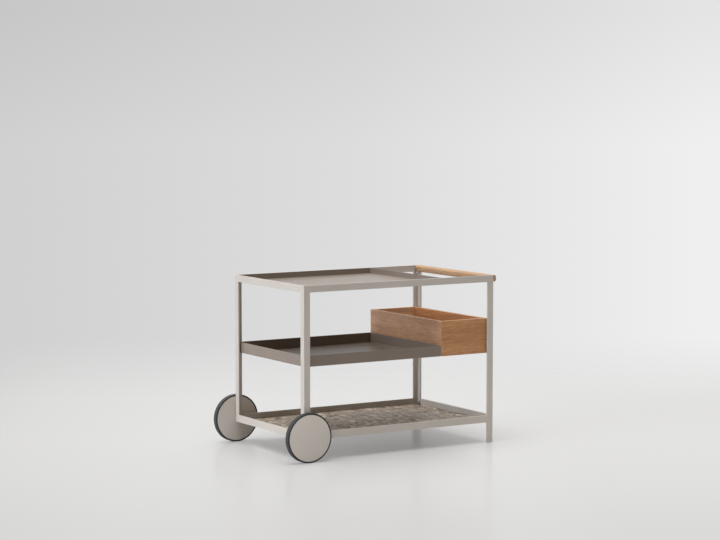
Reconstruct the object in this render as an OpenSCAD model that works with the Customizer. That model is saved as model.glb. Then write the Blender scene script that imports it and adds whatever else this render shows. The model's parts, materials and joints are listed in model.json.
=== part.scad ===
// Cheese trolley. A frame of angle legs and flat rails stands on two wheels at the
// left end and two feet at the right. It carries a lift-out top tray, a folded middle
// tray, a teak bottle box that lifts out through the open end of the top, and a thin
// stone shelf. A teak bar closes the right end of the top and is the handle.
//
// Millimetres. +X points to the handle, -Y is the front, +Z is up. The origin is on
// the floor, under the middle of the whole trolley. Inside place() the left outer face
// of the frame is x = 0 and its front outer face is y = 0.

/* [Frame] */
// Length of the frame over the outer faces of the legs
frame_l = 846; // [760:1:1100]
// Width of the frame over the outer faces of the legs
frame_w = 533; // [420:1:700]
// Height of the top of the rails above the floor
frame_h = 654; // [600:1:800]
// Width of each flange of the leg angles
leg_w = 26; // [24:1:34]
// Thickness of the leg angles and of the rails
leg_t = 6; // [5:0.5:7]
// Height of the top rails and of the handle bar
top_rail_h = 26; // [24:1:34]
// Height of the lower rails
low_rail_h = 28; // [24:1:36]
// Height of the axles above the lower rails' undersides
axle_rise = 12; // [12:0.5:16]
// Width of the ledges inside the rails
ledge_w = 8; // [6:0.5:12]
// Thickness of the ledges and of the bars in line with them
ledge_t = 2; // [1.5:0.5:3]
// Width of the flat bars that cross the frame
cross_bar_w = 16; // [12:1:30]
// Number of bars under the stone shelf
shelf_bar_count = 2; // [1:1:4]

/* [Stone shelf] */
// Thickness of the stone panel
stone_t = 3; // [3:0.5:4]
// Gap between the stone panel and the rails
stone_gap = 0.5; // [0.3:0.1:2]

/* [Handle] */
// Width of the handle bar from its inner to its outer face
handle_w = 30; // [26:1:36]
// How far the handle bar stands out past the legs
handle_out = 13; // [8:1:16]
// Radius of the handle bar's long edges
handle_r = 9; // [3:0.5:11]
// Gap between the handle bar's rebates and the rails
handle_fit = 0.2; // [0.1:0.1:0.5]
// Thickness of the plates that the handle bar is screwed to
handle_plate_t = 3; // [2:0.5:4]
// Diameter of the handle screws
handle_screw_d = 4; // [3:0.5:5]
// Length of the handle screws under the head
handle_screw_l = 20; // [14:1:24]

/* [Trays] */
// Thickness of the top tray's sheet
top_sheet_t = 1.5; // [1:0.5:2.5]
// Gap between the top tray and the rails
top_tray_gap = 1; // [0.5:0.1:2]
// Height of the middle tray's underside above the floor
mid_tray_z = 351.5; // [300:0.5:380]
// Height of the middle tray
mid_tray_h = 41.5; // [34:0.5:60]
// Thickness of the middle tray's sheet
mid_sheet_t = 2; // [1.5:0.5:2.5]
// Outer radius of the folds
fold_r = 3.2; // [2.8:0.1:4]
// Thickness of the spacers between the left legs and the middle tray
spacer_t = 4.5; // [3:0.5:5]
// Height of the middle tray's upturned end between the right legs
tray_end_h = 20; // [16:1:34]
// Diameter of the tray screws
tray_screw_d = 4; // [3:0.5:4.5]
// How deep the tray screws go into the legs
tray_screw_bite = 4; // [2:0.5:4.5]

/* [Bottle box] */
// Width of the bottle box along the trolley
box_w = 215; // [150:1:260]
// Height of the bottle box
box_h = 135; // [90:1:180]
// Thickness of the box's boards
board_t = 14; // [12:0.5:18]
// Thickness of the box's bottom
box_floor_t = 6; // [4:0.5:9]
// Depth of the grooves that hold the box's bottom
groove_d = 5; // [3:0.5:7]
// Gap between the bottle box and the handle bar's inner face, seen from above
box_handle_gap = 3; // [2:0.5:8]
// Gap between the bottle box and the trays
box_tray_gap = 1; // [1:0.5:4]

/* [Wheels] */
// Diameter over the tyre
wheel_d = 185; // [150:1:220]
// Thickness of the wheel over its covers
wheel_t = 22.5; // [22.5:0.5:32]
// Gap between the wheel and the leg
wheel_gap = 4.5; // [2:0.5:6]
// Distance from the left legs' inner faces to the axles
axle_inset = 3.5; // [3.5:0.5:8]
// Width of the tyre's side wall outside the covers
tyre_side = 6.1; // [3:0.1:8]
// Radius of the tyre's shoulders
tyre_shoulder = 2; // [1:0.5:2.5]
// Depth of the tyre's bead between the covers
tyre_bead = 2.4; // [2:0.1:4]
// Thickness of the wheel covers
cover_t = 2; // [1.5:0.1:2.5]
// Diameter of the axle bolt's shoulder, which the bearings run on
axle_d = 8; // [8:0.5:8.5]
// Diameter of the axle bolt's thread
axle_thread_d = 6; // [5:0.5:6]
// Outer diameter of the ball bearings
bearing_d = 19; // [18:0.5:22]
// Width of a ball bearing
bearing_w = 6; // [5:0.5:6]
// Number of ribs in the wheel core
core_ribs = 8; // [5:1:12]

/* [Feet] */
// Height of the feet under the right legs
foot_h = 4; // [2:0.5:8]
// How far the feet stand back from the legs' faces
foot_inset = 0.5; // [0.3:0.1:1]
// Width of the upstand that grips the inside of the leg's corner
foot_upstand_w = 12; // [8:1:16]
// Height of that upstand
foot_upstand_h = 12; // [8:1:20]

/* [Hidden] */
$fn = 64;

// Finishes
paint = [0.80, 0.77, 0.73];
tray_paint = [0.50, 0.46, 0.42];
teak = [0.70, 0.50, 0.34];
stone = [0.60, 0.56, 0.51];
steel = [0.72, 0.72, 0.74];
rubber = [0.22, 0.23, 0.24];
nylon = [0.18, 0.18, 0.18];
foot_nylon = [0.80, 0.78, 0.75];

// Clearances of the fits
eps = 0.01;           // how far a cut runs past a face, or a joined block into its neighbour
merge = 1;            // overlap of two shapes that are one piece
tip_gap = 1;          // between a screw's tip and the end of its hole
thread_gap = 0.05;    // radial, between a screw and its thread
hole_gap = 0.25;      // radial, between a screw and a plain hole
run_gap = 0.03;       // radial, between a bearing and the axle
seat_gap = 0.02;      // radial, between a bearing and its seat
end_play = 0.05;      // axial, at each side of a bearing
joint_gap = 0.1;      // between a board's groove and the box's bottom

// Frame
top_z = frame_h - top_rail_h;
axle_x = leg_t + axle_inset;
axle_z = wheel_d / 2;
low_z = axle_z - axle_rise;
inner_r = frame_l - leg_t;
inner_b = frame_w - leg_t;
ledge_x0 = leg_w;
ledge_x1 = frame_l - leg_w;

// Handle, box and tray lines along the trolley
handle_x1 = frame_l + handle_out;
handle_x0 = handle_x1 - handle_w;
box_x1 = handle_x0 - box_handle_gap;
box_x0 = box_x1 - box_w;
divide_x = box_x0 - box_tray_gap;

// Middle tray and box across the trolley
nest_y0 = leg_t + spacer_t;
nest_y1 = frame_w - nest_y0;
nest_x0 = leg_t + spacer_t;
tongue_side = 1;
tongue_y0 = nest_y0 + board_t + tongue_side;
tongue_y1 = frame_w - tongue_y0;
tongue_top = mid_tray_z + mid_sheet_t;
end_flange_gap = 0.5;
end_strip_gap = 2;
end_strip_x0 = box_x1 + end_strip_gap;
box_floor_up = 1.5;
box_floor_z = tongue_top + box_floor_up;

// Top tray
top_tray_z = top_z + ledge_t;

// Stone shelf
stone_z = low_z + ledge_t;

// Screws. The sizes of a head and its socket are multiples of the shank's diameter.
head_wide = 1.9;
head_high = 0.55;
socket_wide = 0.6;
socket_deep = 0.33;
head_wall_gap = 1.7;
tray_screw_y = nest_y0 + mid_sheet_t + head_wide * tray_screw_d / 2 + head_wall_gap;
tray_screw_pitch = 16;
tray_screw_z = mid_tray_z + mid_tray_h / 2;
end_screw_z = (tongue_top + mid_tray_z + tray_end_h) / 2;
spacer_w = 14;
spacer_edge = 4;
plate_reach = 1;
plate_x0 = handle_x0 - plate_reach;
handle_screw_x = (plate_x0 + inner_r) / 2;
handle_screw_y = (leg_t + leg_w) / 2;

// Wheel, measured outwards from the leg's face
wheel_r = wheel_d / 2;
cover_r = wheel_r - tyre_side;
rim_r = cover_r - tyre_bead;
rim_t = 6;
core_a0 = wheel_gap + cover_t;
core_a1 = wheel_gap + wheel_t - cover_t;
core_mid = (core_a0 + core_a1) / 2;
bearing_stop = 2;
bearing_a0 = core_a0;
bearing_a1 = bearing_a0 + bearing_w + bearing_stop;
bearing_ring_t = 1.8;
shield_dip = 0.6;
head_a0 = bearing_a1 + bearing_w + end_play;
head_cover_gap = 0.6;
axle_head_brim = 2.5;
axle_head_r = axle_d / 2 + axle_head_brim;
axle_head_h = core_a1 - head_a0 - head_cover_gap;
axle_socket_d = 5.8;
axle_socket_h = 3;
axle_bite = 10;
hub_wall = 5;
hub_r = bearing_d / 2 + hub_wall;
stop_lip = 2;
stop_r = bearing_d / 2 - stop_lip;
spacer_wall = 2;
spacer_r = axle_d / 2 + spacer_wall;
sleeve_wall = 1.5;
sleeve_r = axle_d / 2 + sleeve_wall;
core_web_t = 3;
core_rib_t = 2.5;
spigot_t = 1.5;
spigot_l = 4;
spigot_rib_gap = 0.5;
cover_spacer_gap = 2;
cover_hole_r = spacer_r + cover_spacer_gap;
tyre_gap = 0.1;
tyre_key_w = 9;
tyre_key_d = 2;
boss_wall = 2.5;
boss_w = axle_inset + axle_thread_d / 2 + boss_wall;
boss_l = axle_bite + 2 * tip_gap;
boss_stone_gap = 1;
boss_h = 2 * (axle_rise - ledge_t - stone_t - boss_stone_gap);

// The origin, from the outermost points along the trolley
whole_x0 = min(0, axle_x - wheel_r);
whole_x1 = handle_x1;

// ---------------------------------------------------------------- helpers

// Moves a shape from the frame's corner to the part's origin.
module place() {
    translate([-(whole_x0 + whole_x1) / 2, -frame_w / 2, 0]) children();
}

// A block given by its lowest and highest corners.
module block(low, high) {
    translate(low) cube(high - low);
}

// The child as it is, or mirrored to the same place at the rear of the frame.
module side(rear) {
    if (rear) {
        translate([0, frame_w, 0]) mirror([0, 1, 0]) children();
    } else {
        children();
    }
}

// The child as it is, or mirrored to the same place at the right end of the frame.
module end(right) {
    if (right) {
        translate([frame_l, 0, 0]) mirror([1, 0, 0]) children();
    } else {
        children();
    }
}

// A flat outline with its four corners rounded.
module rounded_outline(w, h, r) {
    translate([r, 0]) square([w - 2 * r, h]);
    translate([0, r]) square([w, h - 2 * r]);
    for (x = [r, w - r], y = [r, h - r]) {
        translate([x, y]) circle(r = r);
    }
}

// An outline with its two lower corners rounded.
module folded_outline(w, h, r) {
    translate([0, r]) square([w, h - r]);
    translate([r, 0]) square([w - 2 * r, h]);
    for (x = [r, w - r]) {
        translate([x, r]) circle(r = r);
    }
}

// A block whose four lower edges are rounded.
module folded_block(size, r) {
    intersection() {
        translate([0, size[1], 0]) rotate([90, 0, 0])
            linear_extrude(size[1]) folded_outline(size[0], size[2], r);
        rotate([90, 0, 90])
            linear_extrude(size[0]) folded_outline(size[1], size[2], r);
    }
}

// A pan folded from sheet of thickness t.
module pan(size, t, r) {
    difference() {
        folded_block(size, r);
        translate([t, t, t])
            folded_block([size[0] - 2 * t, size[1] - 2 * t, size[2]], r - t);
    }
}

// A button-head screw along +Z: the head hangs below z = 0 and the shank stands above.
module button_screw(d, l) {
    head_h = head_high * d;
    difference() {
        union() {
            translate([0, 0, -merge]) cylinder(d = d, h = l + merge);
            translate([0, 0, -head_h]) cylinder(d = head_wide * d, h = head_h);
        }
        translate([0, 0, -head_h - eps])
            cylinder(d = socket_wide * d, h = socket_deep * d + eps, $fn = 6);
    }
}

// Puts a shape on an axle, with +Z pointing outwards from the leg's face.
module at_axle(rear) {
    translate([axle_x, rear ? frame_w : 0, axle_z])
        rotate([rear ? -90 : 90, 0, 0]) children();
}

// ---------------------------------------------------------------- frame

// A leg angle at the front left corner, from z0 up to the top rails.
module leg_angle(z0) {
    linear_extrude(top_z - z0)
        polygon([[0, 0], [leg_w, 0], [leg_w, leg_t], [leg_t, leg_t], [leg_t, leg_w], [0, leg_w]]);
}

// A blind hole for a tray screw, cut into a leg's flange from the inside.
module tray_screw_hole(z) {
    translate([leg_t - tray_screw_bite - eps, tray_screw_y, z]) rotate([0, 90, 0])
        cylinder(d = tray_screw_d + 2 * thread_gap, h = tray_screw_bite + merge);
}

module left_leg(rear) {
    color(paint) place() side(rear) difference() {
        translate([0, 0, low_z]) leg_angle(low_z);
        translate([axle_x, -eps, axle_z]) rotate([-90, 0, 0])
            cylinder(d = axle_thread_d + 2 * thread_gap, h = leg_t + 2 * eps);
        for (z = [-1, 1] * tray_screw_pitch / 2) {
            tray_screw_hole(tray_screw_z + z);
        }
    }
}

module right_leg(rear) {
    color(paint) place() side(rear) end(true) difference() {
        translate([0, 0, foot_h]) leg_angle(foot_h);
        tray_screw_hole(end_screw_z);
    }
}

module leg_front_left() left_leg(false);
module leg_rear_left() left_leg(true);
module leg_front_right() right_leg(false);
module leg_rear_right() right_leg(true);

// The long top rail: mitred at the left, square at the right, with a ledge for the tray.
module long_top_rail(rear) {
    color(paint) place() side(rear) {
        translate([0, 0, top_z]) linear_extrude(top_rail_h)
            polygon([[0, 0], [frame_l, 0], [frame_l, leg_t], [leg_t, leg_t]]);
        block([ledge_x0, leg_t - eps, top_z], [divide_x - cross_bar_w, leg_t + ledge_w, top_tray_z]);
    }
}

module top_rail_front() long_top_rail(false);
module top_rail_rear() long_top_rail(true);

module top_rail_left() {
    color(paint) place() {
        translate([0, 0, top_z]) linear_extrude(top_rail_h)
            polygon([[0, 0], [leg_t, leg_t], [leg_t, inner_b], [0, frame_w]]);
        block([leg_t - eps, leg_w, top_z], [leg_t + ledge_w, frame_w - leg_w, top_tray_z]);
    }
}

// The flat bar under the free end of the top tray.
module top_cross_bar() {
    color(paint) place()
        block([divide_x - cross_bar_w, leg_t, top_z], [divide_x, inner_b, top_tray_z]);
}

// A lower rail between the long sides' legs, with a ledge for the stone.
module long_lower_rail(rear) {
    color(paint) place() side(rear) {
        block([leg_w, 0, low_z], [frame_l - leg_w, leg_t, low_z + low_rail_h]);
        block([ledge_x0, leg_t - eps, low_z], [ledge_x1, leg_t + ledge_w, stone_z]);
    }
}

module short_lower_rail(right) {
    color(paint) place() end(right) {
        block([0, leg_w, low_z], [leg_t, frame_w - leg_w, low_z + low_rail_h]);
        block([leg_t - eps, leg_w, low_z], [leg_t + ledge_w, frame_w - leg_w, stone_z]);
    }
}

module lower_rail_front() long_lower_rail(false);
module lower_rail_rear() long_lower_rail(true);
module lower_rail_left() short_lower_rail(false);
module lower_rail_right() short_lower_rail(true);

// Bars under the stone, spaced evenly and level with the ledges.
module shelf_bars() {
    color(paint) place()
        for (i = [1 : shelf_bar_count]) {
            x = frame_l * i / (shelf_bar_count + 1);
            block([x - cross_bar_w / 2, leg_t + ledge_w, low_z],
                  [x + cross_bar_w / 2, inner_b - ledge_w, stone_z]);
        }
}

module stone_panel() {
    color(stone) place()
        block([leg_t + stone_gap, leg_t + stone_gap, stone_z],
              [inner_r - stone_gap, inner_b - stone_gap, stone_z + stone_t]);
}

// ---------------------------------------------------------------- handle

// A rounded bar across the right end, rebated over the ends of the long rails.
module handle_bar() {
    rebate = leg_t + handle_fit;
    color(teak) place() difference() {
        translate([handle_x0, frame_w, top_z]) rotate([90, 0, 0])
            linear_extrude(frame_w) rounded_outline(handle_w, top_rail_h, handle_r);
        for (y = [-eps, frame_w - rebate]) {
            block([handle_x0 - eps, y, top_z - eps],
                  [frame_l + handle_fit, y + rebate + eps, frame_h + eps]);
        }
        for (y = [handle_screw_y, frame_w - handle_screw_y]) {
            translate([handle_screw_x, y, top_z - eps])
                cylinder(d = handle_screw_d + 2 * thread_gap,
                         h = handle_screw_l - handle_plate_t + tip_gap);
        }
    }
}

// Plates in the right legs' upper corners, which the handle bar is screwed to.
module handle_plates() {
    color(paint) place() for (rear = [false, true]) side(rear) difference() {
        block([plate_x0, leg_t, top_z - handle_plate_t], [inner_r, leg_w, top_z]);
        translate([handle_screw_x, handle_screw_y, top_z - handle_plate_t - eps])
            cylinder(d = handle_screw_d + 2 * hole_gap, h = handle_plate_t + 2 * eps);
    }
}

module handle_screws() {
    color(steel) place() for (rear = [false, true]) side(rear)
        translate([handle_screw_x, handle_screw_y, top_z - handle_plate_t])
            button_screw(handle_screw_d, handle_screw_l);
}

// ---------------------------------------------------------------- trays

module top_tray() {
    side_gap = leg_t + top_tray_gap;
    color(tray_paint) place() translate([side_gap, side_gap, top_tray_z])
        pan([divide_x - side_gap, frame_w - 2 * side_gap, frame_h - top_tray_z], top_sheet_t, fold_r);
}

// The middle tray. Its floor runs on under the bottle box as a narrower tongue, widens
// again between the right legs and turns up there.
module middle_tray() {
    color(tray_paint) place() difference() {
        union() {
            translate([nest_x0, nest_y0, mid_tray_z])
                pan([divide_x - nest_x0, nest_y1 - nest_y0, mid_tray_h], mid_sheet_t, fold_r);
            block([divide_x - 2 * fold_r, tongue_y0, mid_tray_z], [inner_r, tongue_y1, tongue_top]);
            block([end_strip_x0, leg_t + end_flange_gap, mid_tray_z],
                  [inner_r, inner_b - end_flange_gap, tongue_top]);
            block([inner_r - mid_sheet_t, leg_t + end_flange_gap, mid_tray_z],
                  [inner_r, inner_b - end_flange_gap, mid_tray_z + tray_end_h]);
        }
        for (y = [tray_screw_y, frame_w - tray_screw_y]) {
            for (z = [-1, 1] * tray_screw_pitch / 2) {
                translate([nest_x0 - eps, y, tray_screw_z + z]) rotate([0, 90, 0])
                    cylinder(d = tray_screw_d + 2 * hole_gap, h = mid_sheet_t + 2 * eps);
            }
            translate([inner_r - mid_sheet_t - eps, y, end_screw_z]) rotate([0, 90, 0])
                cylinder(d = tray_screw_d + 2 * hole_gap, h = mid_sheet_t + 2 * eps);
        }
    }
}

// Spacers that hold the middle tray off the left legs.
module tray_spacers() {
    color(nylon) place() for (rear = [false, true]) side(rear) difference() {
        block([leg_t, tray_screw_y - spacer_w / 2, mid_tray_z + spacer_edge],
              [nest_x0, tray_screw_y + spacer_w / 2, mid_tray_z + mid_tray_h - spacer_edge]);
        for (z = [-1, 1] * tray_screw_pitch / 2) {
            translate([leg_t - eps, tray_screw_y, tray_screw_z + z]) rotate([0, 90, 0])
                cylinder(d = tray_screw_d + 2 * hole_gap, h = spacer_t + 2 * eps);
        }
    }
}

module tray_screws_left() {
    color(steel) place()
        for (y = [tray_screw_y, frame_w - tray_screw_y], z = [-1, 1] * tray_screw_pitch / 2) {
            translate([nest_x0 + mid_sheet_t, y, tray_screw_z + z]) rotate([0, -90, 0])
                button_screw(tray_screw_d, mid_sheet_t + spacer_t + tray_screw_bite);
        }
}

module tray_screws_right() {
    color(steel) place()
        for (y = [tray_screw_y, frame_w - tray_screw_y]) {
            translate([inner_r - mid_sheet_t, y, end_screw_z]) rotate([0, 90, 0])
                button_screw(tray_screw_d, mid_sheet_t + tray_screw_bite);
        }
}

// ---------------------------------------------------------------- bottle box

// The room that the box's bottom takes, grown by a gap.
module box_floor_room(gap) {
    reach = board_t - groove_d - gap;
    block([box_x0 + reach, nest_y0 + reach, box_floor_z - gap],
          [box_x1 - reach, nest_y1 - reach, box_floor_z + box_floor_t + gap]);
}

// A long board across the trolley, mitred at both ends and grooved for the bottom.
module end_board(right) {
    x = right ? box_x1 : box_x0;
    s = right ? -1 : 1;
    color(teak) place() difference() {
        translate([0, 0, tongue_top]) linear_extrude(mid_tray_z + box_h - tongue_top)
            polygon([[x, nest_y0], [x + s * board_t, nest_y0 + board_t],
                     [x + s * board_t, nest_y1 - board_t], [x, nest_y1]]);
        box_floor_room(joint_gap);
    }
}

// A short board along the trolley, mitred at both ends. It hides the tongue's edge.
module face_board(rear) {
    color(teak) place() side(rear) difference() {
        translate([0, 0, mid_tray_z]) linear_extrude(box_h)
            polygon([[box_x0, nest_y0], [box_x1, nest_y0],
                     [box_x1 - board_t, nest_y0 + board_t], [box_x0 + board_t, nest_y0 + board_t]]);
        box_floor_room(joint_gap);
    }
}

module box_board_front() face_board(false);
module box_board_rear() face_board(true);
module box_board_left() end_board(false);
module box_board_right() end_board(true);

module box_bottom() {
    color(teak) place() box_floor_room(0);
}

// ---------------------------------------------------------------- feet

// A foot under a right leg: a thin pad, and an upstand in the leg's corner.
module foot(rear) {
    grip = leg_t + joint_gap;
    color(foot_nylon) place() side(rear) end(true) {
        block([foot_inset, foot_inset, 0], [leg_w - foot_inset, grip + eps, foot_h]);
        block([foot_inset, foot_inset, 0], [grip + eps, leg_w - foot_inset, foot_h]);
        block([grip, grip, 0], [grip + foot_upstand_w, grip + foot_upstand_w, foot_h + foot_upstand_h]);
    }
}

module foot_front() foot(false);
module foot_rear() foot(true);

// ---------------------------------------------------------------- axles

// A threaded boss behind a left leg's flange.
module axle_boss(rear) {
    color(paint) place() side(rear) difference() {
        block([leg_t, leg_t, axle_z - boss_h / 2], [leg_t + boss_w, leg_t + boss_l, axle_z + boss_h / 2]);
        translate([axle_x, leg_t - eps, axle_z]) rotate([-90, 0, 0])
            cylinder(d = axle_thread_d + 2 * thread_gap, h = axle_bite + tip_gap);
    }
}

module axle_boss_front() axle_boss(false);
module axle_boss_rear() axle_boss(true);

// A shoulder bolt: thread, shoulder for the bearings, round head with a hexagon socket.
module axle_bolt(rear) {
    color(steel) place() at_axle(rear) difference() {
        union() {
            translate([0, 0, -leg_t - axle_bite])
                cylinder(d = axle_thread_d, h = leg_t + axle_bite + merge);
            cylinder(d = axle_d, h = head_a0 + merge);
            translate([0, 0, head_a0]) cylinder(r = axle_head_r, h = axle_head_h);
        }
        translate([0, 0, head_a0 + axle_head_h - axle_socket_h])
            cylinder(d = axle_socket_d, h = axle_socket_h + eps, $fn = 6);
    }
}

module axle_bolt_front() axle_bolt(false);
module axle_bolt_rear() axle_bolt(true);

// A plain ring on the axle's shoulder.
module axle_ring(r, a0, a1) {
    difference() {
        translate([0, 0, a0]) cylinder(r = r, h = a1 - a0);
        translate([0, 0, a0 - eps]) cylinder(r = axle_d / 2 + run_gap, h = a1 - a0 + 2 * eps);
    }
}

module axle_spacer(rear) {
    color(steel) place() at_axle(rear) axle_ring(spacer_r, 0, bearing_a0 - end_play);
}

module axle_spacer_front() axle_spacer(false);
module axle_spacer_rear() axle_spacer(true);

module bearing_sleeve(rear) {
    color(steel) place() at_axle(rear)
        axle_ring(sleeve_r, bearing_a0 + bearing_w + end_play, bearing_a1 - end_play);
}

module bearing_sleeve_front() bearing_sleeve(false);
module bearing_sleeve_rear() bearing_sleeve(true);

// ---------------------------------------------------------------- wheels

// A ball bearing with its shields set back between the rings.
module ball_bearing(a) {
    r0 = axle_d / 2 + run_gap;
    r1 = bearing_d / 2;
    inner = r0 + bearing_ring_t;
    outer = r1 - bearing_ring_t;
    low = shield_dip;
    high = bearing_w - shield_dip;
    translate([0, 0, a]) rotate_extrude()
        polygon([[r0, 0], [inner, 0], [inner, low], [outer, low], [outer, 0], [r1, 0],
                 [r1, bearing_w], [outer, bearing_w], [outer, high], [inner, high],
                 [inner, bearing_w], [r0, bearing_w]]);
}

module bearings(rear) {
    color(steel) place() at_axle(rear) for (a = [bearing_a0, bearing_a1]) ball_bearing(a);
}

module bearings_front() bearings(false);
module bearings_rear() bearings(true);

// The moulded core: hub with two bearing seats, web, ribs, and a rim grooved for the tyre.
module wheel_core(rear) {
    seat_r = bearing_d / 2 + seat_gap;
    stop_a = bearing_a0 + bearing_w;
    key_r = rim_r - tyre_key_d - tyre_gap;
    key = tyre_key_w / 2 + tyre_gap;
    rib_inset = spigot_l + spigot_rib_gap;
    color(nylon) place() at_axle(rear) {
        rotate_extrude() difference() {
            union() {
                translate([stop_r, core_a0]) square([hub_r - stop_r, core_a1 - core_a0]);
                translate([hub_r - merge, core_mid - core_web_t / 2])
                    square([rim_r - rim_t - hub_r + 2 * merge, core_web_t]);
                translate([rim_r - rim_t, core_a0]) square([rim_t, core_a1 - core_a0]);
            }
            translate([key_r, core_mid - key]) square([tyre_key_d + tyre_gap + eps, 2 * key]);
            translate([stop_r - eps, core_a0 - eps])
                square([seat_r - stop_r + eps, stop_a - core_a0 + eps]);
            translate([stop_r - eps, bearing_a1])
                square([seat_r - stop_r + eps, core_a1 - bearing_a1 + eps]);
        }
        for (i = [0 : core_ribs - 1]) {
            rotate([0, 0, 360 * i / core_ribs])
                translate([hub_r - merge, -core_rib_t / 2, core_a0 + rib_inset])
                cube([rim_r - rim_t - hub_r + 2 * merge, core_rib_t,
                      core_a1 - core_a0 - 2 * rib_inset]);
        }
    }
}

module wheel_core_front() wheel_core(false);
module wheel_core_rear() wheel_core(true);

// A flat cover with a softened edge and a spigot that snaps into the core's rim.
module cover_profile(r0, outward) {
    soft = 0.4;
    spigot_r = rim_r - rim_t - joint_gap;
    mirror([0, outward ? 0 : 1]) {
        polygon([[r0, 0], [cover_r, 0], [cover_r, cover_t - soft], [cover_r - soft, cover_t],
                 [r0, cover_t]]);
        translate([spigot_r - spigot_t, -spigot_l]) square([spigot_t, spigot_l + eps]);
    }
}

module wheel_cover_outer(rear) {
    color(paint) place() at_axle(rear) translate([0, 0, core_a1])
        rotate_extrude($fn = 128) cover_profile(0, true);
}

module wheel_cover_outer_front() wheel_cover_outer(false);
module wheel_cover_outer_rear() wheel_cover_outer(true);

module wheel_cover_inner(rear) {
    color(paint) place() at_axle(rear) translate([0, 0, core_a0])
        rotate_extrude($fn = 128) cover_profile(cover_hole_r, false);
}

module wheel_cover_inner_front() wheel_cover_inner(false);
module wheel_cover_inner_rear() wheel_cover_inner(true);

// The tyre: a bead between the covers, keyed into the rim, and a tread with round shoulders.
module tyre_profile() {
    t = wheel_t - 2 * joint_gap;
    s = tyre_shoulder;
    lip_r = cover_r + tyre_gap;
    bead_t = core_a1 - core_a0 - 2 * tyre_gap;
    a0 = core_mid - t / 2;
    translate([rim_r + tyre_gap, core_mid - bead_t / 2]) square([tyre_bead + merge, bead_t]);
    translate([rim_r - tyre_key_d, core_mid - tyre_key_w / 2])
        square([tyre_key_d + tyre_gap + merge, tyre_key_w]);
    intersection() {
        translate([wheel_r - tyre_side - s, a0]) rounded_outline(tyre_side + s, t, s);
        translate([lip_r, a0]) square([wheel_r - lip_r, t]);
    }
}

module tyre(rear) {
    color(rubber) place() at_axle(rear) rotate_extrude($fn = 128) tyre_profile();
}

module tyre_front() tyre(false);
module tyre_rear() tyre(true);

// ---------------------------------------------------------------- assembly

leg_front_left();
leg_rear_left();
leg_front_right();
leg_rear_right();
top_rail_front();
top_rail_rear();
top_rail_left();
top_cross_bar();
lower_rail_front();
lower_rail_rear();
lower_rail_left();
lower_rail_right();
shelf_bars();
stone_panel();
handle_bar();
handle_plates();
handle_screws();
middle_tray();
tray_spacers();
tray_screws_left();
tray_screws_right();
foot_front();
foot_rear();
axle_boss_front();
axle_boss_rear();
axle_bolt_front();
axle_bolt_rear();
axle_spacer_front();
axle_spacer_rear();
bearing_sleeve_front();
bearing_sleeve_rear();
bearings_front();
bearings_rear();
wheel_core_front();
wheel_core_rear();
wheel_cover_outer_front();
wheel_cover_outer_rear();
wheel_cover_inner_front();
wheel_cover_inner_rear();
tyre_front();
tyre_rear();
top_tray();
box_board_front();
box_board_rear();
box_board_left();
box_board_right();
box_bottom();
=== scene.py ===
"""Cheese trolley: finishes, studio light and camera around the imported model.

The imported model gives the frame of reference, in metres: +X points to the handle,
-Y is the front and +Z is up. Each sub-assembly is a class that models or dresses its
own pieces and reports them through the log.
"""

from __future__ import annotations

import json
import logging
import math
from abc import ABC, abstractmethod
from collections.abc import Callable, Iterable, Iterator, Sequence
from contextlib import contextmanager
from dataclasses import dataclass
from enum import Enum
from functools import cached_property

import bmesh
import bpy
from mathutils import Euler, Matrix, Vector

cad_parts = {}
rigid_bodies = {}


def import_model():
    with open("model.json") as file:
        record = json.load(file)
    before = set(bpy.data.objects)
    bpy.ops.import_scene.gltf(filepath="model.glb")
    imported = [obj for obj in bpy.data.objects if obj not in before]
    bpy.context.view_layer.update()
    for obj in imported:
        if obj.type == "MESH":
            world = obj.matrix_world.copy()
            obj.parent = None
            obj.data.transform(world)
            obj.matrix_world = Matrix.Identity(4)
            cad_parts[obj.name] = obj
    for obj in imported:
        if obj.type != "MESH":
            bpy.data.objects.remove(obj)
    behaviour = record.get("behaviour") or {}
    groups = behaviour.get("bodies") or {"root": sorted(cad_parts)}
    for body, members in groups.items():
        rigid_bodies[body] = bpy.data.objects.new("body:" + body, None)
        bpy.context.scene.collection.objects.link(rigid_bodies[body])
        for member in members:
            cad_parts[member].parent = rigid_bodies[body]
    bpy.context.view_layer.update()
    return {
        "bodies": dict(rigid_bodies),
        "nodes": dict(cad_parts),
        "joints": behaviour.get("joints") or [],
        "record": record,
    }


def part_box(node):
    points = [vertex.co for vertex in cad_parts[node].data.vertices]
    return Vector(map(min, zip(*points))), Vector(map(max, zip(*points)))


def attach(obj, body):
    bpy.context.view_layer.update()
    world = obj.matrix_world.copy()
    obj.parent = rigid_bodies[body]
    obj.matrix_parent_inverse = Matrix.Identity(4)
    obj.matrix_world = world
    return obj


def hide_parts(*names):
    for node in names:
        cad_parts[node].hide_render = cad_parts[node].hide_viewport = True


LOG = logging.getLogger("trolley")
MM = 0.001

Piece = bpy.types.Object
Material = bpy.types.Material
Node = bpy.types.Node
Socket = bpy.types.NodeSocket
Tree = bpy.types.NodeTree
Edge = bmesh.types.BMEdge
Face = bmesh.types.BMFace
Rgb = tuple[float, float, float]
Triple = tuple[float, float, float]
Span = tuple[float, float]
Shades = tuple[tuple[float, float], ...]
Skin = tuple[Socket, Socket, Socket]

UNIT: Span = (0.0, 1.0)
NOISE: Span = (0.3, 0.7)  # most values of a noise lie in this range
UP: Triple = (0.0, 0.0, 1.0)
TOUCH = 0.01 * MM  # places closer than this are one
NEAR = 0.1 * MM  # a corner closer than this to a side belongs to it
FACING = 0.9  # a normal with more than this along an axis faces that way


class Body(Enum):
    """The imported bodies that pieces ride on."""

    FRAME = "frame"
    WHEEL_FRONT = "wheel_front"
    WHEEL_REAR = "wheel_rear"
    TOP_TRAY = "top_tray"
    BOTTLE_BOX = "bottle_box"


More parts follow.
